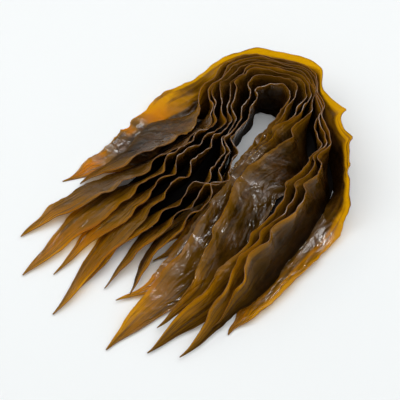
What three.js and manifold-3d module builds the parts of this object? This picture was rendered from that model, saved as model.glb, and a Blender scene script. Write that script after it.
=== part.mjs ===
// A folded bunch of moist kelp blades, lying on its side.
//
// Nine long, thin blades lie nested in each other and are folded double, like a
// hairpin. Round the bend they stand on edge, one inside the next, and flare
// outward like the leaves of an onion round a small open hole. From the bend two
// arms run down to long pointed tips, where the blades lie flat and fan out.
// The wet blades cling together, so the bunch is one solid: a low core of pressed
// lower margins, with every blade that shows fused to it as a thin wavy sheet.
//
// Units are millimetres, +Z is up. The origin is at the bottom centre of the
// bunch's box. +X is to the right of the two arms, and the bend points to +Y.

import * as THREE from 'three';
import { mergeVertices } from 'three/addons/utils/BufferGeometryUtils.js';
import Module from 'manifold-3d';

// ---- driving dimensions ----

const BLADES = 9; // from the innermost, at the hole, to the outermost
const WIDTH = 47; // a blade at its widest
const THICKNESS = 1.5;
const EDGE_THICKNESS = 1.1; // at the two margins
const TIP_THICKNESS = 0.9;
const TIP_CUT = 3; // cut off each pointed tip, which leaves it blunt
const FLOOR_CLEARANCE = 0.75; // a blade's middle surface above the table
const TIP_LIFT = 0.35; // share of the lift of the station next to it
const LEAST_RISE = 3; // of a flat blade's upper margin above its lower one

const STEP = 11; // along a blade
const STEPS_ACROSS = 2;

// The upper margin's ruffle is a sum of waves along the blade. drift is how far
// each moves on from one blade to the next, and slant from one margin to the
// other, in radians.
const RUFFLES = [
  { length: 92, height: 3.0, drift: 0.5 },
  { length: 43, height: 3.6, drift: 0.7 },
];
const RUFFLE_SLANT = 0.8;
const RUFFLE_SCATTER = 0.8; // radians, the most that chance adds to a blade's drift
// radians by which the waves crowd and spread along a blade
const RUFFLE_WANDER = { turn: 1.1, length: 170, drift: 0.4 };
// where the waves are livelier or calmer: reach is along the blade, gain adds to 1
const LIVELINESS = [
  { run: 200, reach: 60, gain: 0.4 },
  { run: 275, reach: 28, gain: -0.5 },
  { run: 375, reach: 62, gain: -0.6 },
  { run: 560, reach: 50, gain: 0.7 },
];
const OUTER_CALM = 0.45; // share of the waves that the outermost blade has
const RUFFLE_DEPTH = 0.65; // share of the width that it reaches down
const RUFFLE_FADE = 1.5; // power by which it dies away
const PRESSED_RUFFLE = 0.25; // share that is left where a blade lies flat
const LOWER_RUFFLE = { length: 37, height: 0.9, drift: 1.3, depth: 0.4 };
const BELLY = { length: 57, height: 0.6, drift: 1, slant: 4 };

// ---- how the blades lie ----
//
// Each station is a cut across the bunch. run is its distance along a blade from
// the left tips, at is the point on the table where the innermost blade stands,
// and heading is the way, in degrees from +X, in which the next blades follow.
// feet and tops are the distances from that point to each blade's lower and upper
// margin, innermost blade first. lifts is the height of the lower margins, and
// breadths are the blades' widths there as shares of WIDTH, which with the distance
// from foot to top give the heights that the upper margins reach. A null stands
// for a blade that ends before it gets there.

const allNine = (value) => Array(BLADES).fill(value);

const STATIONS = [
  { // left fan
    run: 90, at: [-30, -65], heading: 141, breadths: allNine(0.8),
    feet: [19, 34, 50, 66, 82, 101, 120, null, null],
    tops: [-5, 8, 22, 34, 48, 66, 86, null, null],
    lifts: [0, 0, 1, 2, 3, 3, 4, null, null],
  },
  { // left arm
    run: 170, at: [8, -2], heading: 144, breadths: allNine(1),
    feet: [-6, 0, 12, 31, 45, 58, 82, 106, 76],
    tops: [-18, -11, -1, 19, 33, 41, 50, 68, 126.5],
    lifts: [0, 0, 0, 0, 0, 1, 3, 4, 0],
  },
  { // left shoulder
    run: 250, at: [34, 60], heading: 152, breadths: allNine(1),
    feet: [2, 8, 15, 24, 34, 44, 54, 84, 61],
    tops: [-9, -2, 1, 7, 13, 22, 26, 42, 109.5],
    lifts: [0, 0, 0, 0, 0, 1, 3, 8, 0],
  },
  { // left of the bend
    run: 300, at: [52, 96], heading: 150, breadths: allNine(1),
    feet: [0, 4, 9, 14, 19, 24, 29, 33, 38],
    tops: [-5, 4, 20, 24, 34.5, 42, 45, 53, 76],
    lifts: allNine(0),
  },
  { // top of the bend
    run: 355, at: [62, 116], heading: 90, breadths: allNine(1),
    feet: [2, 6, 10, 14, 18, 22, 25, 28, 34],
    tops: [-4, 12.5, 24, 28, 32, 35, 39, 43.5, 54],
    lifts: allNine(0),
  },
  { // turn of the bend
    run: 383, at: [78, 112], heading: 40, breadths: allNine(1),
    feet: [0, 4, 10, 14, 19, 23, 27, 31, 36],
    tops: [7, 20, 26, 29, 33, 36, 39, 42, 51],
    lifts: allNine(0),
  },
  { // right of the bend
    run: 410, at: [82, 102], heading: 8, breadths: allNine(1),
    feet: [0, 4, 9, 13, 17, 21, 24, 26, 30],
    tops: [8.5, 14.5, 25, 30, 33.5, 36, 38, 40, 44],
    lifts: allNine(0),
  },
  { // right shoulder
    run: 475, at: [90, 44], heading: -37, breadths: allNine(1),
    feet: [0, 4, 8, 13, 24, 43, 46, 49, 54],
    tops: [-32, -28.5, -25, -21, -3, 29, 35, 41, 71],
    lifts: [0, 0, 1, 2, 5, 1, 1, 1, 0],
  },
  { // right arm
    run: 540, at: [62, -4], heading: -28, breadths: allNine(0.94),
    feet: [-3, 0, 3, 6, 14, 48, 55, 62, 44],
    tops: [-43, -39, -36, -32, -25, 29, 38, 48, 87],
    lifts: [0, 2, 4, 6, 8, 3, 5, 7, 0],
  },
  { // right fan
    run: 615, at: [11, -98], heading: -25,
    breadths: [null, null, 0.85, 0.85, 0.85, 0.85, 0.85, 0.85, 0.6],
    feet: [null, null, 2, -4, 22, 45, 51, 56, 42],
    tops: [null, null, -34, -46, -8, 19, 28, 37, 69],
    lifts: [null, null, 3, 6, 9, 5, 6, 7, 0],
  },
];

// Where each blade's two pointed tips lie on the table, innermost blade first, and
// how far its sides bow out there from a straight taper, from -1, slim and
// hollow-sided, to 1, rounded like a lens: [run, x, y, bow].
const LEFT_TIPS = [
  [0, -72, -126, -0.6], [0, -94, -114, -0.4], [0, -119, -116, -0.8], [0, -142, -147, 0.3],
  [0, -142, -99, -0.6], [0, -174, -99, 0.3], [0, -177, -51, -0.2], [100, -124, 18, 0],
  [90, -142, 24, -0.4],
];
const RIGHT_TIPS = [
  [655, -50, -66, 0.8], [665, -44, -84, 0], [700, -93, -187, 0.6], [700, -81, -130, -0.6],
  [700, -41, -165, -0.7], [700, -54, -191, 0.4], [700, -20, -199, -0.2], [700, 13, -169, -0.8],
  [700, 24, -168, 0.3],
];

// Bulges and tongues of the outermost blade's upper margin: [run, reach along the
// blade, how far out, how far down, and 2 for a round one or 1 for a pointed one].
const BULGES = [
  [150, 8, 2, 0, 2], [200, 12, -2, 0, 2], [224, 10, 3, 0, 2], [271, 20, 9, 0, 2],
  [340, 14, -2, 0, 2], [388, 8, 2, 0, 2], [426, 8, 19, 7, 1], [447, 6, 11, 4, 1],
  [470, 6, 5, 1, 1], [505, 12, -2, 0, 2],
];
const BULGE_DEPTH = 0.4; // share of the width that it takes up

// The core is the pressed mass of lower margins round the bend, between the
// innermost and the outermost blade. near and far are its sides, as distances
// from the stations' points.
const CORE = [
  { run: 130, near: 10, far: 82, height: 2 },
  { run: 170, near: -6, far: 76, height: 3 },
  { run: 232, near: 1, far: 66, height: 4 },
  { run: 262, near: 3, far: 56, height: 11 },
  { run: 300, near: 2, far: 34, height: 13 },
  { run: 355, near: 0, far: 30, height: 13 },
  { run: 410, near: 2, far: 27, height: 13 },
  { run: 475, near: 4, far: 54, height: 11 },
  { run: 520, near: 6, far: 56, height: 7 },
  { run: 575, near: -4, far: 54, height: 4 },
];
const CORE_TOP_INSET = 0.12; // of the core's width, on each side
const CORE_STEP = 18;
const TABLE = { width: 1000, depth: 20 }; // cut away below the bunch

// ---- curves through the stations ----

const radians = THREE.MathUtils.degToRad;
const clamp = THREE.MathUtils.clamp;

// A smooth curve through values given at uneven runs.
function throughPoints(runs, values, run) {
  const last = runs.length - 1;
  const slope = (k) => (values[k + 1] - values[k]) / (runs[k + 1] - runs[k]);
  const tangent = (k) => {
    if (k === 0) return slope(0);
    if (k === last) return slope(last - 1);
    const before = runs[k] - runs[k - 1];
    const after = runs[k + 1] - runs[k];
    return (slope(k - 1) * after + slope(k) * before) / (before + after);
  };
  let k = 0;
  while (k < last - 1 && run >= runs[k + 1]) k += 1;
  const span = runs[k + 1] - runs[k];
  const t = (run - runs[k]) / span;
  return values[k] * (2 * t ** 3 - 3 * t ** 2 + 1)
    + tangent(k) * span * (t ** 3 - 2 * t ** 2 + t)
    + values[k + 1] * (3 * t ** 2 - 2 * t ** 3)
    + tangent(k + 1) * span * (t ** 3 - t ** 2);
}

function placeAcross(station, distance, height) {
  const angle = radians(station.heading);
  return new THREE.Vector3(
    station.at[0] + Math.cos(angle) * distance,
    station.at[1] + Math.sin(angle) * distance,
    height,
  );
}

// The runs and points that one blade's lower and upper margins pass through.
function marginsOf(blade) {
  const passed = STATIONS.filter((station) => station.feet[blade] !== null);
  const tipAt = ([, x, y], station) => (
    new THREE.Vector3(x, y, FLOOR_CLEARANCE + TIP_LIFT * station.lifts[blade])
  );
  const margin = (pointAt) => [
    tipAt(LEFT_TIPS[blade], passed[0]),
    ...passed.map(pointAt),
    tipAt(RIGHT_TIPS[blade], passed[passed.length - 1]),
  ];
  const lower = margin((station) => (
    placeAcross(station, station.feet[blade], station.lifts[blade] + FLOOR_CLEARANCE)
  ));
  const upper = margin((station) => {
    const width = WIDTH * station.breadths[blade];
    const lean = station.tops[blade] - station.feet[blade];
    const rise = Math.sqrt(Math.max(width ** 2 - lean ** 2, LEAST_RISE ** 2));
    return placeAcross(station, station.tops[blade], station.lifts[blade] + rise);
  });
  const runs = [LEFT_TIPS[blade][0], ...passed.map((station) => station.run), RIGHT_TIPS[blade][0]];
  return { runs, lower, upper };
}

function pointAlong(runs, points, run) {
  const along = (axis) => throughPoints(runs, points.map((p) => p[axis]), run);
  return new THREE.Vector3(along('x'), along('y'), along('z'));
}

// How much wider than a straight taper a blade is toward its tips.
function tipBow(blade, runs, run) {
  const last = runs.length - 1;
  const taper = (from, to) => (run - from) / (to - from);
  const left = taper(runs[0], runs[1]);
  const right = taper(runs[last], runs[last - 1]);
  const share = Math.min(left, right);
  if (share >= 1) return 1;
  const [, , , bow] = (left < right ? LEFT_TIPS : RIGHT_TIPS)[blade];
  return 1 + bow * (Math.sin(share * Math.PI / 2) / share - 1);
}

// A steady number from 0 to 1 for each blade and wave.
function scatter(blade, wave) {
  const value = Math.sin(blade * 12.9898 + wave * 78.233) * 43758.5453;
  return value - Math.floor(value);
}

// How far a blade's surface stands off its smooth form, at a run and at a share
// of its width from the lower margin (0) to the upper one (1).
function ruffle(blade, run, across) {
  const turn = (wave) => 2 * Math.PI * run / wave.length + wave.drift * blade;
  const bell = (place) => Math.exp(-(((run - place.run) / place.reach) ** 2));
  const upper = clamp(1 - (1 - across) / RUFFLE_DEPTH, 0, 1) ** RUFFLE_FADE;
  const lower = clamp(1 - across / LOWER_RUFFLE.depth, 0, 1) ** RUFFLE_FADE;
  const calm = blade === BLADES - 1 ? OUTER_CALM : 1;
  const life = LIVELINESS.reduce((sum, place) => sum + place.gain * bell(place), 1) * calm;
  const wander = RUFFLE_WANDER.turn * Math.sin(turn(RUFFLE_WANDER));
  let height = 0;
  RUFFLES.forEach((wave, k) => {
    const chance = RUFFLE_SCATTER * scatter(blade, k);
    const phase = turn(wave) + chance + RUFFLE_SLANT * across + wander;
    height += life * upper * wave.height * Math.sin(phase);
  });
  height += lower * LOWER_RUFFLE.height * Math.sin(turn(LOWER_RUFFLE));
  height += BELLY.height * Math.sin(turn(BELLY) + BELLY.slant * across);
  return height;
}

// How far out and how far down the outermost blade's upper margin stands.
function bulge(blade, run, across) {
  if (blade < BLADES - 1) return [0, 0];
  const fold = clamp(1 - (1 - across) / BULGE_DEPTH, 0, 1);
  return BULGES.reduce(([out, down], [at, reach, outward, downward, roundness]) => {
    const share = fold * Math.exp(-(Math.abs((run - at) / reach) ** roundness));
    return [out + share * outward, down + share * downward];
  }, [0, 0]);
}

// ---- one blade ----

function bladeSolid(blade) {
  const { runs, lower, upper } = marginsOf(blade);
  const start = runs[0] + TIP_CUT;
  const end = runs[runs.length - 1] - TIP_CUT;
  const steps = Math.round((end - start) / STEP);
  const middle = [];
  for (let i = 0; i <= steps; i += 1) {
    const run = start + (end - start) * i / steps;
    const foot = pointAlong(runs, lower, run);
    const top = pointAlong(runs, upper, run);
    const centre = foot.clone().add(top).multiplyScalar(0.5);
    const half = top.clone().sub(foot).multiplyScalar(0.5 * tipBow(blade, runs, run));
    const fullness = clamp(2 * half.length() / WIDTH, 0, 1);
    const upright = clamp(half.z / half.length(), 0, 1);
    const row = [];
    for (let j = 0; j <= STEPS_ACROSS; j += 1) {
      const across = j / STEPS_ACROSS;
      const point = centre.clone().addScaledVector(half, 2 * across - 1);
      row.push({ point, run, across, fullness, upright, floor: foot.z });
    }
    middle.push(row);
  }

  // the way each point faces, and how much the blade is gathered up along there,
  // from its neighbours on the smooth form
  const lieOf = (i, j) => {
    const ahead = middle[Math.min(i + 1, steps)][j];
    const behind = middle[Math.max(i - 1, 0)][j];
    const along = ahead.point.clone().sub(behind.point);
    const up = middle[i][STEPS_ACROSS].point.clone().sub(middle[i][0].point);
    const gather = clamp(along.length() / (ahead.run - behind.run), 0, 1);
    return { normal: along.cross(up).normalize(), gather };
  };
  const faces = [[], []];
  for (let i = 0; i <= steps; i += 1) {
    for (let j = 0; j <= STEPS_ACROSS; j += 1) {
      const { point, run, across, fullness, upright, floor } = middle[i][j];
      const { normal, gather } = lieOf(i, j);
      const freedom = THREE.MathUtils.lerp(PRESSED_RUFFLE, 1, upright) * fullness * gather ** 2;
      const surface = point.clone().addScaledVector(normal, ruffle(blade, run, across) * freedom);
      const [out, down] = bulge(blade, run, across);
      const inward = new THREE.Vector3(normal.x, normal.y, 0).normalize();
      surface.addScaledVector(inward, -out);
      surface.z -= down;
      surface.z = Math.max(surface.z, floor);
      const body = across > 0 && across < 1 ? THICKNESS : EDGE_THICKNESS;
      const thickness = THREE.MathUtils.lerp(TIP_THICKNESS, body, fullness);
      faces[0].push(surface.clone().addScaledVector(normal, thickness / 2));
      faces[1].push(surface.clone().addScaledVector(normal, -thickness / 2));
    }
  }

  // both faces split into triangles alike, then the rim between them
  const columns = STEPS_ACROSS + 1;
  const back = columns * (steps + 1);
  const index = [];
  const quad = (a, b, c, d) => index.push(a, b, c, a, c, d);
  for (let i = 0; i < steps; i += 1) {
    for (let j = 0; j < STEPS_ACROSS; j += 1) {
      const a = i * columns + j;
      const b = a + columns;
      index.push(a, b, b + 1, a, b + 1, a + 1);
      index.push(back + a, back + b + 1, back + b, back + a, back + a + 1, back + b + 1);
    }
    const foot = i * columns;
    const top = foot + STEPS_ACROSS;
    quad(foot, back + foot, back + foot + columns, foot + columns);
    quad(top + columns, back + top + columns, back + top, top);
  }
  for (let j = 0; j < STEPS_ACROSS; j += 1) {
    const last = steps * columns;
    quad(j + 1, back + j + 1, back + j, j);
    quad(last + j, back + last + j, back + last + j + 1, last + j + 1);
  }
  return closedGeometry([...faces[0], ...faces[1]], index);
}

// ---- the core ----

function coreSolid() {
  const runs = CORE.map((row) => row.run);
  const known = STATIONS.map((station) => station.run);
  const start = runs[0];
  const span = runs[runs.length - 1] - start;
  const steps = Math.round(span / CORE_STEP);
  const corners = [];
  for (let i = 0; i <= steps; i += 1) {
    const run = start + span * i / steps;
    const size = (name) => throughPoints(runs, CORE.map((row) => row[name]), run);
    const station = (pick) => throughPoints(known, STATIONS.map(pick), run);
    const cut = {
      at: [station((s) => s.at[0]), station((s) => s.at[1])],
      heading: station((s) => s.heading),
    };
    const [near, far, height] = [size('near'), size('far'), size('height')];
    const inset = (far - near) * CORE_TOP_INSET;
    corners.push(
      placeAcross(cut, near, 0),
      placeAcross(cut, far, 0),
      placeAcross(cut, far - inset, height),
      placeAcross(cut, near + inset, height),
    );
  }
  const index = [];
  for (let i = 0; i < steps; i += 1) {
    for (let side = 0; side < 4; side += 1) {
      const a = i * 4 + side;
      const b = i * 4 + (side + 1) % 4;
      index.push(a, b, b + 4, a, b + 4, a + 4);
    }
  }
  const last = steps * 4;
  index.push(0, 3, 2, 0, 2, 1, last, last + 1, last + 2, last, last + 2, last + 3);
  return closedGeometry(corners, index);
}

// ---- joining ----

function closedGeometry(points, index) {
  const geometry = new THREE.BufferGeometry().setFromPoints(points);
  geometry.setIndex(index);
  return mergeVertices(geometry);
}

const manifold = await Module();
manifold.setup();

function toSolid(geometry) {
  return new manifold.Manifold(new manifold.Mesh({
    numProp: 3,
    vertProperties: new Float32Array(geometry.attributes.position.array),
    triVerts: new Uint32Array(geometry.index.array),
  }));
}

function toGeometry(solid) {
  const mesh = solid.getMesh();
  const geometry = new THREE.BufferGeometry();
  geometry.setAttribute('position', new THREE.BufferAttribute(mesh.vertProperties, 3));
  geometry.setIndex(new THREE.BufferAttribute(mesh.triVerts, 1));
  return geometry;
}

// Sealed hollows are filled and loose scraps dropped: the largest shell is kept.
function largestBody(solid) {
  const bodies = solid.decompose();
  return bodies.reduce((best, body) => (body.volume() > best.volume() ? body : best));
}

function bunchSolid() {
  let solid = toSolid(coreSolid());
  for (let blade = 0; blade < BLADES; blade += 1) {
    solid = solid.add(toSolid(bladeSolid(blade)));
  }
  const { width, depth } = TABLE;
  const table = new THREE.BoxGeometry(width, width, depth)
    .deleteAttribute('normal').deleteAttribute('uv').translate(0, 0, -depth / 2);
  return largestBody(solid.subtract(toSolid(mergeVertices(table))));
}

function centred(geometry) {
  geometry.computeBoundingBox();
  const middle = geometry.boundingBox.getCenter(new THREE.Vector3());
  return geometry.translate(-middle.x, -middle.y, -geometry.boundingBox.min.z);
}

// ---- the part ----

const wetKelp = new THREE.MeshStandardMaterial({ color: 0x4c3318, roughness: 0.25, metalness: 0 });
const bunch = new THREE.Mesh(centred(toGeometry(bunchSolid())), wetKelp);
bunch.name = 'kelp_bunch';

const part = new THREE.Group();
part.add(bunch);

export default part;
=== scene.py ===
import math

import bpy
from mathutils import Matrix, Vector, noise


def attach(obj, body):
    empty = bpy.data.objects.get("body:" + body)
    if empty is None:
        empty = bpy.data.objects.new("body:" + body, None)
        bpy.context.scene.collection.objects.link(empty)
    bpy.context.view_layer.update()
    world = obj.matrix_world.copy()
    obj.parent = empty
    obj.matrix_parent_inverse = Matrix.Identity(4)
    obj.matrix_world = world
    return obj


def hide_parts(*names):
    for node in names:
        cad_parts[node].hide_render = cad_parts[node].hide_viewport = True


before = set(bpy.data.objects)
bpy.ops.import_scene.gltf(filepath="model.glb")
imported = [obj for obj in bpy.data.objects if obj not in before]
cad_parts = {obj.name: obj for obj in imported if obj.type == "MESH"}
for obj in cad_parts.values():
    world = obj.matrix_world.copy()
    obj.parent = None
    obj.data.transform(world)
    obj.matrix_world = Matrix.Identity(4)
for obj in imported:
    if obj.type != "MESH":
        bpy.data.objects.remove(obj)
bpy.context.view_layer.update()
bpy.ops.object.select_all(action="DESELECT")


# ---- camera ----
# A long lens two metres away looks down on the table at 50 degrees, square to the
# near edge of the table. The blades' places below are given from the point on the
# table that it looks at, and the part's own origin is at the centre of its box.

MM = 0.001
BOX_CENTRE = Vector((-12.665, -13.739, 0)) * MM  # from the point looked at
LOOK_AT = -BOX_CENTRE
CAMERA_DISTANCE = 2.0
CAMERA_ELEVATION = math.radians(50)
CAMERA_LENS = 180
CAMERA_SENSOR = 36
CAMERA_REACH = 50

sight = Vector((0, math.cos(CAMERA_ELEVATION), -math.sin(CAMERA_ELEVATION)))
bpy.ops.object.camera_add(location=LOOK_AT - sight * CAMERA_DISTANCE)
camera = bpy.context.object
camera.name = "camera"
camera.rotation_euler = sight.to_track_quat("-Z", "Y").to_euler()
camera.data.lens = CAMERA_LENS
camera.data.sensor_width = CAMERA_SENSOR
camera.data.clip_end = CAMERA_REACH
bpy.context.scene.camera = camera
bpy.context.scene.view_settings.view_transform = "Standard"


# ---- table and light ----
# A matt white table top in a pale room. A wide window to the left gives the soft faint
# shadow at the right and a softbox overhead fills the top. Two lamps, one behind and
# one at the right, show in gloss alone, as the white glints on the wet skin.


def linear(hex_colour):
    """A hex sRGB colour as linear red, green, blue and alpha."""
    channels = [int(hex_colour[i:i + 2], 16) / 255 for i in (1, 3, 5)]
    return [c / 12.92 if c <= 0.04045 else ((c + 0.055) / 1.055) ** 2.4 for c in channels] + [1]


def add_node(tree, kind, settings=None, inputs=None):
    """A node with its settings, and its inputs set to a value or linked to a socket."""
    node = tree.nodes.new(kind)
    for name, value in (settings or {}).items():
        setattr(node, name, value)
    for name, value in (inputs or {}).items():
        if isinstance(value, bpy.types.NodeSocket):
            tree.links.new(value, node.inputs[name])
        else:
            node.inputs[name].default_value = value
    return node


TABLE_SIZE = 8.0
TABLE_WHITE = "#edf1f4"
TABLE_ROUGHNESS = 0.9
ROOM_WHITE = "#fffdf8"
ROOM_STRENGTH = 0.58
LIGHT_DISTANCE = 1.6
LIGHTS = {  # the way toward it, its side in metres, and its power in watts
    "window": ((-0.6, 0.12, 0.79), 1.2, 6),
    "softbox": ((0.3, 0.1, 0.94), 1.8, 14),
    "back_lamp": ((0.1, 0.51, 0.86), 0.36, 19),
    "right_lamp": ((0.5, 0.25, 0.8), 0.22, 8),
}
GLINT_LAMPS = ("back_lamp", "right_lamp")

bpy.ops.mesh.primitive_plane_add(size=TABLE_SIZE)
table = bpy.context.object
table.name = "table_top"
table_paint = bpy.data.materials.new("matt white table paint")
table_paint.use_nodes = True
paint = table_paint.node_tree.nodes["Principled BSDF"]
paint.inputs["Base Color"].default_value = linear(TABLE_WHITE)
paint.inputs["Roughness"].default_value = TABLE_ROUGHNESS
paint.inputs["Specular IOR Level"].default_value = 0
table.data.materials.append(table_paint)

for name, (way, side, power) in LIGHTS.items():
    way = Vector(way).normalized()
    bpy.ops.object.light_add(type="AREA", location=LOOK_AT + way * LIGHT_DISTANCE)
    light = bpy.context.object
    light.name = name
    light.rotation_euler = (-way).to_track_quat("-Z", "Y").to_euler()
    light.data.size = side
    light.data.energy = power
    light.visible_diffuse = name not in GLINT_LAMPS
    light.visible_transmission = name not in GLINT_LAMPS

room = bpy.data.worlds.new("pale room")
bpy.context.scene.world = room
room.use_nodes = True
room_light = room.node_tree.nodes["Background"]
room_light.inputs["Color"].default_value = linear(ROOM_WHITE)
room_light.inputs["Strength"].default_value = ROOM_STRENGTH


# ---- how the blades lie ----
# Nine kelp blades, each one long thin wavy-edged skin, lie nested in each other and
# are folded double. Each station is a cut across the bunch, in millimetres: run is
# its distance along a blade from the left tips, at the point on the table where the
# innermost blade stands, and heading the way in which the next blades follow. feet
# and tops are the distances from there to each blade's lower and upper margin,
# innermost first, and lifts the heights of the lower margins. A blade with None
# ends before it gets there.

BLADE_WIDTH = 47
TABLE_CLEARANCE = 0.75  # of a blade's middle surface
TIP_LIFT = 0.35  # share of the lift of the station next to it
LEAST_RISE = 3  # of a flat blade's upper margin

STATIONS = [
    {  # left fan
        "run": 90, "at": (-30, -65), "heading": 141, "breadths": (0.8,) * 9,
        "feet": (19, 34, 50, 66, 82, 101, 120, None, None),
        "tops": (-5, 8, 22, 34, 48, 66, 86, None, None),
        "lifts": (0, 0, 1, 2, 3, 3, 4, None, None),
    },
    {  # left arm
        "run": 170, "at": (8, -2), "heading": 144, "breadths": (1,) * 9,
        "feet": (-6, 0, 12, 31, 45, 58, 82, 106, 76),
        "tops": (-18, -11, -1, 19, 33, 41, 50, 68, 126.5),
        "lifts": (0, 0, 0, 0, 0, 1, 3, 4, 0),
    },
    {  # left shoulder
        "run": 250, "at": (34, 60), "heading": 152, "breadths": (1,) * 9,
        "feet": (2, 8, 15, 24, 34, 44, 54, 84, 61),
        "tops": (-9, -2, 1, 7, 13, 22, 26, 42, 109.5),
        "lifts": (0, 0, 0, 0, 0, 1, 3, 8, 0),
    },
    {  # left of the bend
        "run": 300, "at": (52, 96), "heading": 150, "breadths": (1,) * 9,
        "feet": (0, 4, 9, 14, 19, 24, 29, 33, 38),
        "tops": (-5, 4, 20, 24, 34.5, 42, 45, 53, 76),
        "lifts": (0,) * 9,
    },
    {  # top of the bend
        "run": 355, "at": (62, 116), "heading": 90, "breadths": (1,) * 9,
        "feet": (2, 6, 10, 14, 18, 22, 25, 28, 34),
        "tops": (-4, 12.5, 24, 28, 32, 35, 39, 43.5, 54),
        "lifts": (0,) * 9,
    },
    {  # turn of the bend
        "run": 383, "at": (78, 112), "heading": 40, "breadths": (1,) * 9,
        "feet": (0, 4, 10, 14, 19, 23, 27, 31, 36),
        "tops": (7, 20, 26, 29, 33, 36, 39, 42, 51),
        "lifts": (0,) * 9,
    },
    {  # right of the bend
        "run": 410, "at": (82, 102), "heading": 8, "breadths": (1,) * 9,
        "feet": (0, 4, 9, 13, 17, 21, 24, 26, 30),
        "tops": (8.5, 14.5, 25, 30, 33.5, 36, 38, 40, 44),
        "lifts": (0,) * 9,
    },
    {  # right shoulder
        "run": 475, "at": (90, 44), "heading": -37, "breadths": (1,) * 9,
        "feet": (0, 4, 8, 13, 24, 43, 46, 49, 54),
        "tops": (-32, -28.5, -25, -21, -3, 29, 35, 41, 71),
        "lifts": (0, 0, 1, 2, 5, 1, 1, 1, 0),
    },
    {  # right arm
        "run": 540, "at": (62, -4), "heading": -28, "breadths": (0.94,) * 9,
        "feet": (-3, 0, 3, 6, 14, 48, 55, 62, 44),
        "tops": (-43, -39, -36, -32, -25, 29, 38, 48, 87),
        "lifts": (0, 2, 4, 6, 8, 3, 5, 7, 0),
    },
    {  # right fan
        "run": 615, "at": (11, -98), "heading": -25, "breadths": (0.85,) * 8 + (0.6,),
        "feet": (None, None, 2, -4, 22, 45, 51, 56, 42),
        "tops": (None, None, -34, -46, -8, 19, 28, 37, 69),
        "lifts": (None, None, 3, 6, 9, 5, 6, 7, 0),
    },
]

# each blade's two pointed tips on the table: run, x, y, and how far its sides bow out
# from a straight taper, from -1, slim and hollow-sided, to 1, rounded like a lens
LEFT_TIPS = [
    (0, -72, -126, -0.6), (0, -94, -114, -0.4), (0, -119, -116, -0.8), (0, -142, -147, 0.3),
    (0, -142, -99, -0.6), (0, -174, -99, 0.3), (0, -177, -51, -0.2), (100, -124, 18, 0),
    (90, -142, 24, -0.4),
]
RIGHT_TIPS = [
    (655, -50, -66, 0.8), (665, -44, -84, 0), (700, -93, -187, 0.6), (700, -81, -130, -0.6),
    (700, -41, -165, -0.7), (700, -54, -191, 0.4), (700, -20, -199, -0.2), (700, 13, -169, -0.8),
    (700, 24, -168, 0.3),
]

# bulges and tongues of the outermost blade's upper margin: run, reach along the blade,
# how far out, how far down, and 2 for a round one or 1 for a pointed one
BULGES = (
    (150, 8, 2, 0, 2), (200, 12, -2, 0, 2), (224, 10, 3, 0, 2), (271, 20, 9, 0, 2),
    (340, 14, -2, 0, 2), (388, 8, 2, 0, 2), (426, 8, 19, 7, 1), (447, 6, 11, 4, 1),
    (470, 6, 5, 1, 1), (505, 12, -2, 0, 2),
)
BULGE_DEPTH = 0.4  # share of the width that it takes up


def through_points(runs, values, run):
    """A smooth curve through values given at uneven runs."""
    last = len(runs) - 1

    def slope(k):
        return (values[k + 1] - values[k]) / (runs[k + 1] - runs[k])

    def tangent(k):
        if k == 0:
            return slope(0)
        if k == last:
            return slope(last - 1)
        before = runs[k] - runs[k - 1]
        after = runs[k + 1] - runs[k]
        return (slope(k - 1) * after + slope(k) * before) / (before + after)

    k = 0
    while k < last - 1 and run >= runs[k + 1]:
        k += 1
    span = runs[k + 1] - runs[k]
    t = (run - runs[k]) / span
    return (
        values[k] * (2 * t ** 3 - 3 * t ** 2 + 1)
        + tangent(k) * span * (t ** 3 - 2 * t ** 2 + t)
        + values[k + 1] * (3 * t ** 2 - 2 * t ** 3)
        + tangent(k + 1) * span * (t ** 3 - t ** 2)
    )


def place_across(station, distance, height):
    """The point at a distance across the bunch from where its innermost blade stands."""
    angle = math.radians(station["heading"])
    x, y = station["at"]
    return Vector((x + math.cos(angle) * distance, y + math.sin(angle) * distance, height))


def margins_of(blade):
    """The runs, lower points and upper points that a blade's margins pass through."""
    passed = [station for station in STATIONS if station["feet"][blade] is not None]
    lower, upper = [], []
    for station in passed:
        foot, top, lift, breadth = (
            station[name][blade] for name in ("feet", "tops", "lifts", "breadths")
        )
        width = BLADE_WIDTH * breadth
        rise = math.sqrt(max(width ** 2 - (top - foot) ** 2, LEAST_RISE ** 2))
        lower.append(place_across(station, foot, lift + TABLE_CLEARANCE))
        upper.append(place_across(station, top, lift + rise))
    runs = [station["run"] for station in passed]
    for tip, station, end in (
        (LEFT_TIPS[blade], passed[0], 0),
        (RIGHT_TIPS[blade], passed[-1], len(runs) + 1),
    ):
        height = TABLE_CLEARANCE + TIP_LIFT * station["lifts"][blade]
        point = Vector((tip[1], tip[2], height))
        runs.insert(end, tip[0])
        lower.insert(end, point)
        upper.insert(end, point)
    return runs, lower, upper


# ---- kelp blades ----
# Each blade is a moist skin about a millimetre thick, with a frilled upper margin
# that grew faster than its middle, fine lengthwise pleats and a pointed tip at each
# end. One sheet is laid along the margins, ruffled, and given its thickness.

BLADE_COUNT = 9
BLADE_THICKNESS = 0.7
TIP_CUT = 2.5  # off each end, which leaves it blunt
ALONG_STEPS = 400
ACROSS_STEPS = 32

# waves of the upper margin: length, height, and drift in radians to the next blade
FRILLS = ((92, 3.0, 0.5), (43, 3.6, 0.7), (24, 1.5, 0.9), (12.5, 0.5, 1.3))
FRILL_SLANT = 0.8
FRILL_WANDER = 1.1  # radians by which the waves crowd and spread along a blade
WANDER_LENGTH = 170
WANDER_DRIFT = 0.4  # radians to the next blade
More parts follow.
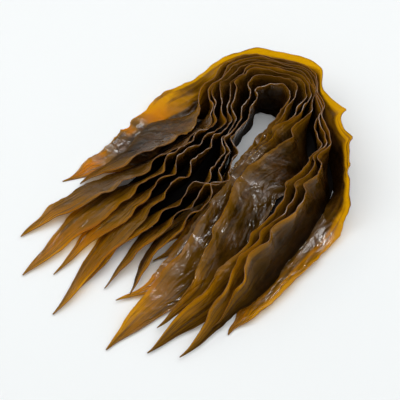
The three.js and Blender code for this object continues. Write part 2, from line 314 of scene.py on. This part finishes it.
# how lively the waves are: run, reach along the blade, and what it adds to 1
LIVELINESS = ((200, 60, 0.4), (275, 28, -0.5), (375, 62, -0.6), (560, 50, 0.7))
FRILL_SCATTER = 0.8
SCATTER_STEPS = (12.9898, 78.233)  # to the next blade and the next wave
SCATTER_SPREAD = 43758.5453
OUTER_CALM = 0.45  # share of the waves that the outermost blade has
FRILL_DEPTH = 0.65  # share of the width that they reach down
FRILL_FADE = 1.5
PRESSED_FRILL = 0.25  # share that is left where a blade lies flat
LOWER_FRILLS = ((37, 0.9, 1.3), (19, 0.45, 2.1))
LOWER_DEPTH = 0.4
RAGGED = ((13, 0.09), (5, 0.05))  # nibbled margins: length, share of the half width
RAGGED_FADE = 8  # a high power, which keeps it to the margins
LOBES = 0.5  # how much wider and narrower a tip grows along its way
LOBE_LENGTH = 22
TIP_SWAY = 9  # millimetres to and fro that a tip bends
SWAY_LENGTH = 38
BELLY_LENGTH = 57
BELLY_HEIGHT = 0.6
BELLY_SLANT = 4
CRINKLES = ((18, 0.9), (8, 0.3))  # soft dents that drying leaves: size and height
CRINKLE_STEP = 9.7  # through the noise, to the next blade
GATHER_FADE = 2  # waves die down where the blade turns so sharply that they would cross

# where each use reads the noise along a blade: its step to the next blade, and its layer
LOBE_NOISE = (3.3, 7)
SWAY_NOISE = (6.1, 3)
RAGGED_NOISE = (5.3, 0)


def between(value, low, high):
    return min(max(value, low), high)


def scatter(blade, wave):
    """A steady number from 0 to 1 for each blade and wave."""
    value = math.sin(blade * SCATTER_STEPS[0] + wave * SCATTER_STEPS[1]) * SCATTER_SPREAD
    return value - math.floor(value)


def noise_along(run, length, blade, use):
    """Noise with bumps of a given length along a blade, steady for each blade and use."""
    step, layer = use
    return noise.noise(Vector((run / length, blade * step, layer)))


def frill(blade, run, across):
    """How far a blade's surface stands off its smooth form."""
    upper = between(1 - (1 - across) / FRILL_DEPTH, 0, 1) ** FRILL_FADE
    lower = between(1 - across / LOWER_DEPTH, 0, 1) ** FRILL_FADE
    life = 1 + sum(gain * math.exp(-((run - at) / reach) ** 2) for at, reach, gain in LIVELINESS)
    if blade == BLADE_COUNT - 1:
        life *= OUTER_CALM
    wander = FRILL_WANDER * math.sin(2 * math.pi * run / WANDER_LENGTH + WANDER_DRIFT * blade)
    height = 0
    for k, (length, size, drift) in enumerate(FRILLS):
        phase = drift * blade + FRILL_SCATTER * scatter(blade, k) + FRILL_SLANT * across + wander
        height += life * upper * size * math.sin(2 * math.pi * run / length + phase)
    for length, size, drift in LOWER_FRILLS:
        height += lower * size * math.sin(2 * math.pi * run / length + drift * blade)
    belly = 2 * math.pi * run / BELLY_LENGTH + BELLY_SLANT * across + blade
    return height + BELLY_HEIGHT * math.sin(belly)


def bulge(blade, run, across):
    """How far out and how far down the outermost blade's upper margin stands."""
    all_out = all_down = 0
    if blade == BLADE_COUNT - 1:
        fold = between(1 - (1 - across) / BULGE_DEPTH, 0, 1)
        for at, reach, out, down, roundness in BULGES:
            share = fold * math.exp(-abs((run - at) / reach) ** roundness)
            all_out += share * out
            all_down += share * down
    return all_out, all_down


def tip_bow(blade, runs, run):
    """How much wider than a straight taper a blade is toward its tips."""
    left = (run - runs[0]) / (runs[1] - runs[0])
    right = (runs[-1] - run) / (runs[-1] - runs[-2])
    share = min(left, right)
    if share >= 1:
        return 1
    bow = (LEFT_TIPS if left < right else RIGHT_TIPS)[blade][3]
    return 1 + bow * (math.sin(share * math.pi / 2) / share - 1)


def lay_blade(blade):
    """Rows of places for a blade's middle surface, with how full and upright it is there."""
    runs, lower, upper = margins_of(blade)
    start, end = runs[0] + TIP_CUT, runs[-1] - TIP_CUT
    rows = []
    for i in range(ALONG_STEPS + 1):
        run = start + (end - start) * i / ALONG_STEPS
        foot = through_points(runs, lower, run)
        top = through_points(runs, upper, run)
        half = (top - foot) * 0.5 * tip_bow(blade, runs, run)
        centre = (foot + top) / 2
        loose = between(1 - 2 * half.length / BLADE_WIDTH, 0, 1)
        half *= 1 + LOBES * loose * noise_along(run, LOBE_LENGTH, blade, LOBE_NOISE)
        sway = noise_along(run, SWAY_LENGTH, blade, SWAY_NOISE)
        centre += half.normalized() * TIP_SWAY * loose * sway
        rows.append((run, centre, half, foot.z))
    surface = []
    for i, (run, centre, half, floor) in enumerate(rows):
        ahead, behind = rows[min(i + 1, ALONG_STEPS)], rows[max(i - 1, 0)]
        fullness = between(2 * half.length / BLADE_WIDTH, 0, 1)
        upright = between(half.z / half.length, 0, 1)
        ragged = sum(
            share * noise_along(run, length, blade, RAGGED_NOISE) for length, share in RAGGED
        )
        row = []
        for j in range(ACROSS_STEPS + 1):
            across = j / ACROSS_STEPS
            side = 2 * across - 1
            along = (ahead[1] + ahead[2] * side) - (behind[1] + behind[2] * side)
            gather = between(along.length / (ahead[0] - behind[0]), 0, 1)
            normal = along.cross(half).normalized()
            freedom = (PRESSED_FRILL + (1 - PRESSED_FRILL) * upright) * fullness
            freedom *= gather ** GATHER_FADE
            dent = 0
            for size, height in CRINKLES:
                place = Vector((run / size, across * BLADE_WIDTH / size, blade * CRINKLE_STEP))
                dent += height * noise.noise(place) * fullness
            out, down = bulge(blade, run, across)
            reach = side * (1 + side ** RAGGED_FADE * ragged)
            point = centre + half * reach + normal * (frill(blade, run, across) * freedom + dent)
            point -= Vector((normal.x, normal.y, 0)).normalized() * out + Vector((0, 0, down))
            point.z = max(point.z, floor)
            row.append(point)
        surface.append((run, fullness, upright, row))
    return surface


# The map of a skin runs along and across its blade, in units of MAP_UNIT millimetres. A
# scale is how often its pattern repeats in one unit, and its comment the size that it gives.
MAP_UNIT = 100
MAP_STEP = 7.3  # to the next blade's place in the patterns
BLOTCH_SCALE = 5  # 20 mm across
BLISTER_SCALE = 7  # 14 mm across
PORE_SCALE = 32  # 3 mm across, coarser than the real grain so that it shows
PLEAT_SCALE = (2.2, 22, 1)  # 45 mm long and 4.5 mm apart
STREAK_SCALE = (1.6, 17, 1)  # 60 mm long and 6 mm apart
PLEAT_HEIGHT = 0.4 * MM
BLISTER_HEIGHT = 2.2 * MM
PORE_HEIGHT = 0.4 * MM
WET_IOR = 1.4  # water and kelp jelly
PAINTED_SHADE_BLACK = "#040201"
KELP_DARK = "#190e05"
KELP_BROWN = "#50300f"
KELP_GREY = "#4c3a20"
KELP_AMBER = "#c98f12"
GLOW_BODY = "#e3b44a"
GLOW_THIN = "#ffdc3c"


def wet_kelp():
    """Moist brown kelp skin: a slick, pleated olive-brown film with a wet gloss, that lets
    light through amber where it is thin and single. Low down on upright blades it has painted
    shade: its colour is painted nearly black and its gloss is painted out."""
    skin = bpy.data.materials.new("moist kelp skin")
    skin.use_nodes = True
    tree = skin.node_tree
    tree.nodes.clear()
    coords = add_node(tree, "ShaderNodeUVMap", {"uv_map": "kelp_map"})
    thin = add_node(tree, "ShaderNodeAttribute", {"attribute_name": "thin"})
    painted_shade = add_node(tree, "ShaderNodeAttribute", {"attribute_name": "painted_shade"})
    blotch = add_node(
        tree, "ShaderNodeTexNoise", {"noise_dimensions": "2D"},
        {"Vector": coords.outputs["UV"], "Scale": BLOTCH_SCALE, "Detail": 4,
         "Roughness": 0.65},
    )
    contrast = add_node(
        tree, "ShaderNodeMapRange", None,
        {"Value": blotch.outputs["Fac"], "From Min": 0.35, "From Max": 0.65},
    )
    stretched = add_node(
        tree, "ShaderNodeMapping", None,
        {"Vector": coords.outputs["UV"], "Scale": PLEAT_SCALE},
    )
    pleats = add_node(
        tree, "ShaderNodeTexNoise", {"noise_dimensions": "2D"},
        {"Vector": stretched.outputs["Vector"], "Scale": 1, "Detail": 2, "Distortion": 0.5},
    )
    along = add_node(
        tree, "ShaderNodeMapping", None,
        {"Vector": coords.outputs["UV"], "Scale": STREAK_SCALE},
    )
    streaks = add_node(
        tree, "ShaderNodeTexNoise", {"noise_dimensions": "2D"},
        {"Vector": along.outputs["Vector"], "Scale": 1, "Detail": 4, "Distortion": 0.4},
    )
    streaked = add_node(
        tree, "ShaderNodeMapRange", None,
        {"Value": streaks.outputs["Fac"], "From Min": 0.36, "From Max": 0.56,
         "To Min": 0.35, "To Max": 1.1},
    )
    film = add_node(
        tree, "ShaderNodeMath", {"operation": "MULTIPLY", "use_clamp": True},
        {0: thin.outputs["Fac"], 1: streaked.outputs["Result"]},
    )
    blisters = add_node(
        tree, "ShaderNodeTexNoise", {"noise_dimensions": "2D"},
        {"Vector": coords.outputs["UV"], "Scale": BLISTER_SCALE, "Detail": 1,
         "Distortion": 0.6},
    )
    pores = add_node(
        tree, "ShaderNodeTexNoise", {"noise_dimensions": "2D"},
        {"Vector": coords.outputs["UV"], "Scale": PORE_SCALE, "Detail": 2,
         "Roughness": 0.6},
    )
    mottled = add_node(
        tree, "ShaderNodeMixRGB", None,
        {"Fac": contrast.outputs["Result"], "Color1": linear(KELP_DARK),
         "Color2": linear(KELP_BROWN)},
    )
    # greyer brown, toward KELP_GREY, where the blister noise is high
    grey_tops = add_node(
        tree, "ShaderNodeMapRange", None,
        {"Value": blisters.outputs["Fac"], "From Min": 0.5, "From Max": 0.68, "To Max": 0.6},
    )
    greyed = add_node(
        tree, "ShaderNodeMixRGB", None,
        {"Fac": grey_tops.outputs["Result"], "Color1": mottled.outputs["Color"],
         "Color2": linear(KELP_GREY)},
    )
    speckled = add_node(
        tree, "ShaderNodeMapRange", None,
        {"Value": pores.outputs["Fac"], "From Min": 0.35, "From Max": 0.65,
         "To Min": 0.55, "To Max": 1.35},
    )
    flecked = add_node(
        tree, "ShaderNodeVectorMath", {"operation": "SCALE"},
        {0: greyed.outputs["Color"], "Scale": speckled.outputs["Result"]},
    )
    body = add_node(
        tree, "ShaderNodeMixRGB", None,
        {"Fac": film.outputs["Value"], "Color1": flecked.outputs["Vector"],
         "Color2": linear(KELP_AMBER)},
    )
    # painted shade: the colour is mixed toward black low down on upright blades
    shaded = add_node(
        tree, "ShaderNodeMixRGB", None,
        {"Fac": painted_shade.outputs["Fac"], "Color1": body.outputs["Color"],
         "Color2": linear(PAINTED_SHADE_BLACK)},
    )
    glow = add_node(
        tree, "ShaderNodeMixRGB", None,
        {"Fac": film.outputs["Value"], "Color1": linear(GLOW_BODY), "Color2": linear(GLOW_THIN)},
    )
    pleat_bump = add_node(
        tree, "ShaderNodeBump", None,
        {"Height": pleats.outputs["Fac"], "Distance": PLEAT_HEIGHT, "Strength": 1},
    )
    blister_bump = add_node(
        tree, "ShaderNodeBump", None,
        {"Height": blisters.outputs["Fac"], "Distance": BLISTER_HEIGHT, "Strength": 1,
         "Normal": pleat_bump.outputs["Normal"]},
    )
    pore_bump = add_node(
        tree, "ShaderNodeBump", None,
        {"Height": pores.outputs["Fac"], "Distance": PORE_HEIGHT, "Strength": 1,
         "Normal": blister_bump.outputs["Normal"]},
    )
    wetness = add_node(
        tree, "ShaderNodeMapRange", None,
        {"Value": blotch.outputs["Fac"], "From Min": 0.44, "From Max": 0.56,
         "To Min": 0.06, "To Max": 0.3},
    )
    glossy = add_node(
        tree, "ShaderNodeBsdfPrincipled", None,
        {"Base Color": shaded.outputs["Color"], "Roughness": wetness.outputs["Result"],
         "Normal": pore_bump.outputs["Normal"], "IOR": WET_IOR},
    )
    # low down between the blades there is nothing bright for the gloss to show, so there the
    # gloss is painted out as painted shade
    painted_shade_matt = add_node(
        tree, "ShaderNodeBsdfDiffuse", None, {"Color": shaded.outputs["Color"]},
    )
    gloss_cut_for_shade = add_node(
        tree, "ShaderNodeMapRange", None,
        {"Value": painted_shade.outputs["Fac"], "From Min": 0.2, "From Max": 0.7, "To Max": 0.92},
    )
    surface = add_node(
        tree, "ShaderNodeMixShader", None,
        {"Fac": gloss_cut_for_shade.outputs["Result"], 1: glossy.outputs["BSDF"],
         2: painted_shade_matt.outputs["BSDF"]},
    )
    through = add_node(
        tree, "ShaderNodeBsdfTranslucent", None,
        {"Color": glow.outputs["Color"], "Normal": blister_bump.outputs["Normal"]},
    )
    share = add_node(
        tree, "ShaderNodeMapRange", None,
        {"Value": film.outputs["Value"], "To Min": 0.05, "To Max": 0.85},
    )
    mixed = add_node(
        tree, "ShaderNodeMixShader", None,
        {"Fac": share.outputs["Result"], 1: surface.outputs["Shader"],
         2: through.outputs["BSDF"]},
    )
    add_node(tree, "ShaderNodeOutputMaterial", None, {"Surface": mixed.outputs["Shader"]})
    return skin


# painted highlight: the rim's lighter tan stands for the light caught by the wet cut edge
RIM_HIGHLIGHT_TAN = "#6b4a26"
RIM_GLOW = "#d99c48"
RIM_ROUGHNESS = 0.4
RIM_THROUGH = 0.2  # share of its light that comes through it


def painted_rim_highlight():
    """The bare edge of the skin, painted a lighter tan as a painted highlight for the light that
    the wet edge catches, so that it shows as a thin bright line.
    """
    rim = bpy.data.materials.new("kelp rim with a painted highlight")
    rim.use_nodes = True
    tree = rim.node_tree
    tree.nodes.clear()
    surface = add_node(
        tree, "ShaderNodeBsdfPrincipled", None,
        {"Base Color": linear(RIM_HIGHLIGHT_TAN), "Roughness": RIM_ROUGHNESS, "IOR": WET_IOR},
    )
    through = add_node(
        tree, "ShaderNodeBsdfTranslucent", None, {"Color": linear(RIM_GLOW)},
    )
    mixed = add_node(
        tree, "ShaderNodeMixShader", None,
        {"Fac": RIM_THROUGH, 1: surface.outputs["BSDF"], 2: through.outputs["BSDF"]},
    )
    add_node(tree, "ShaderNodeOutputMaterial", None, {"Surface": mixed.outputs["Shader"]})
    return rim


# how thin a skin is, from 0 in the body to 1
BODY_THIN = 0.05
EDGE_THIN = 0.2  # toward the margins
EDGE_FADE = 3  # power of a wide, soft fade
RIM_THIN = 0.25  # the last few millimetres
RIM_FADE = 14
TIP_THIN = 1.8  # more than 1, so that it starts where a tip does
FLARED_THIN = 1.0
FLARED_ROUNDNESS = 4  # power, for places that end more sharply than a bell
FLARED_SHARPNESS = 16  # how fast it sets in across the blade
FLARED_WAVER = 0.12  # share of the width by which its inner line wavers
# where the outermost blade's flared band is thin: run, reach along the blade, share of the
# thinness, and share of the width above which it is thin
FLARED_PLACES = (
    (154, 8, 0.5, 0.8), (216, 11, 0.7, 0.75), (275, 32, 1, 0.5), (345, 50, 1, 0.68),
    (440, 60, 1, 0.72), (560, 90, 0.9, 0.7),
)
PATCHY = 0.45  # how much thinner and thicker it is in patches
PATCH_LENGTH = 14
PATCH_ACROSS = 3  # patches side by side on a blade
PATCH_STEP = 4.1  # through the noise, to the next blade
PAINTED_SHADE_REACH = 0.9  # share of the width, from the lower margin, that is painted dark as shade and lets less light through
PAINTED_SHADE_FADE = 0.45
CREASE_ANGLE = math.radians(50)  # a fold sharper than this shows as an edge


def thinness(blade, run, across, fullness):
    """How thin the skin is: most at the tips and margins, and along the flared band."""
    edge = abs(2 * across - 1)
    place = Vector((run / PATCH_LENGTH, across * PATCH_ACROSS, blade * PATCH_STEP))
    patch = noise.noise(place)
    thin = EDGE_THIN * edge ** EDGE_FADE + RIM_THIN * edge ** RIM_FADE + TIP_THIN * (1 - fullness)
    if blade == BLADE_COUNT - 1:
        thin += FLARED_THIN * max(
            share * math.exp(-((run - at) / reach) ** FLARED_ROUNDNESS)
            * between((across - begin - FLARED_WAVER * patch) * FLARED_SHARPNESS, 0, 1)
            for at, reach, share, begin in FLARED_PLACES
        )
    return between(BODY_THIN + thin * (1 + PATCHY * patch), 0, 1)


kelp_skin = wet_kelp()
rim_highlight_skin = painted_rim_highlight()
blades = []
for blade in range(BLADE_COUNT):
    surface = lay_blade(blade)
    bpy.ops.mesh.primitive_grid_add(
        x_subdivisions=ALONG_STEPS, y_subdivisions=ACROSS_STEPS, size=2, calc_uvs=True,
    )
    piece = bpy.context.object
    piece.name = f"kelp_blade_{blade + 1}"
    mesh = piece.data
    mesh.uv_layers[0].name = "kelp_map"
    thin = mesh.attributes.new("thin", "FLOAT", "POINT")
    painted_shade = mesh.attributes.new("painted_shade", "FLOAT", "POINT")
    places = []
    for vertex in mesh.vertices:
        i = round((vertex.co.x + 1) / 2 * ALONG_STEPS)
        j = round((vertex.co.y + 1) / 2 * ACROSS_STEPS)
        run, fullness, upright, row = surface[i]
        across = j / ACROSS_STEPS
        places.append((run, across))
        # painted shade: low down on upright blades the skin is painted dark and lets less light
        # through, for the shade between the blades
        depth = upright * between(1 - across / PAINTED_SHADE_REACH, 0, 1) ** PAINTED_SHADE_FADE
        thin.data[vertex.index].value = thinness(blade, run, across, fullness) * (1 - depth)
        painted_shade.data[vertex.index].value = depth
        vertex.co = row[j] * MM - BOX_CENTRE
    for loop in mesh.loops:
        run, across = places[loop.vertex_index]
        place = (run / MAP_UNIT + blade * MAP_STEP, across * BLADE_WIDTH / MAP_UNIT)
        mesh.uv_layers[0].data[loop.index].uv = place
    mesh.materials.append(kelp_skin)
    mesh.materials.append(rim_highlight_skin)
    thickness = piece.modifiers.new("thickness", "SOLIDIFY")
    thickness.thickness = BLADE_THICKNESS * MM
    thickness.offset = 0
    thickness.material_offset_rim = 1
    bpy.ops.object.modifier_apply(modifier=thickness.name)
    bpy.ops.object.shade_smooth_by_angle(angle=CREASE_ANGLE)
    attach(piece, "root")
    blades.append(piece)
    bpy.ops.object.select_all(action="DESELECT")


# ---- pressed heart ----
# Low down, the blades' lower margins lie pressed together into one wet mass, painted near black
# and nearly without gloss as painted shade for the dark low down between the blades. It is a low
# bar that follows the bunch under the blades.

HEART = (  # run, near and far side, height
    (105, 20, 88, 2.0), (130, 10, 82, 3.0), (170, -6, 76, 6.0), (232, 1, 66, 9.0),
    (262, 3, 56, 12.0), (300, 2, 34, 14.0), (355, 0, 30, 14.0), (410, 2, 27, 14.0),
    (475, 4, 54, 11.0), (520, 6, 56, 8.0), (575, -4, 54, 5.0), (600, -2, 52, 3.0),
)
HEART_STEPS = 90
HEART_SIDES = 8
# painted shade: near black, with the gloss turned almost off
HEART_SHADE_DARK = "#080402"
HEART_ROUGHNESS = 0.8
HEART_SHADE_GLOSS = 0.05

heart_runs = [row[0] for row in HEART]
station_runs = [station["run"] for station in STATIONS]
bpy.ops.mesh.primitive_cylinder_add(vertices=HEART_SIDES, radius=1, depth=2)
heart = bpy.context.object
heart.name = "pressed_heart"
heart_places = []
heart_faces = []
for i in range(HEART_STEPS + 1):
    run = heart_runs[0] + (heart_runs[-1] - heart_runs[0]) * i / HEART_STEPS
    near, far, height = (
        through_points(heart_runs, [row[k] for row in HEART], run) for k in (1, 2, 3)
    )
    cut = {
        "at": [through_points(station_runs, [s["at"][k] for s in STATIONS], run) for k in (0, 1)],
        "heading": through_points(station_runs, [s["heading"] for s in STATIONS], run),
    }
    for k in range(HEART_SIDES):
        angle = 2 * math.pi * k / HEART_SIDES
        distance = (near + far) / 2 + (far - near) / 2 * math.cos(angle)
        z = height / 2 * (1 + math.sin(angle))
        heart_places.append(place_across(cut, distance, z) * MM - BOX_CENTRE)
    if i:
        for k in range(HEART_SIDES):
            a = (i - 1) * HEART_SIDES + k
            b = (i - 1) * HEART_SIDES + (k + 1) % HEART_SIDES
            heart_faces.append((a, b, b + HEART_SIDES, a + HEART_SIDES))
last = HEART_STEPS * HEART_SIDES
heart_faces.append(tuple(range(HEART_SIDES))[::-1])
heart_faces.append(tuple(last + k for k in range(HEART_SIDES)))
heart.data.clear_geometry()
heart.data.from_pydata(heart_places, [], heart_faces)
heart.data.update()
pressed = bpy.data.materials.new("pressed wet kelp")
pressed.use_nodes = True
pressed_skin = pressed.node_tree.nodes["Principled BSDF"]
pressed_skin.inputs["Base Color"].default_value = linear(HEART_SHADE_DARK)
pressed_skin.inputs["Roughness"].default_value = HEART_ROUGHNESS
pressed_skin.inputs["Specular IOR Level"].default_value = HEART_SHADE_GLOSS
heart.data.materials.append(pressed)
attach(heart, "root")

for piece in [*blades, heart]:
    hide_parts("kelp_bunch")
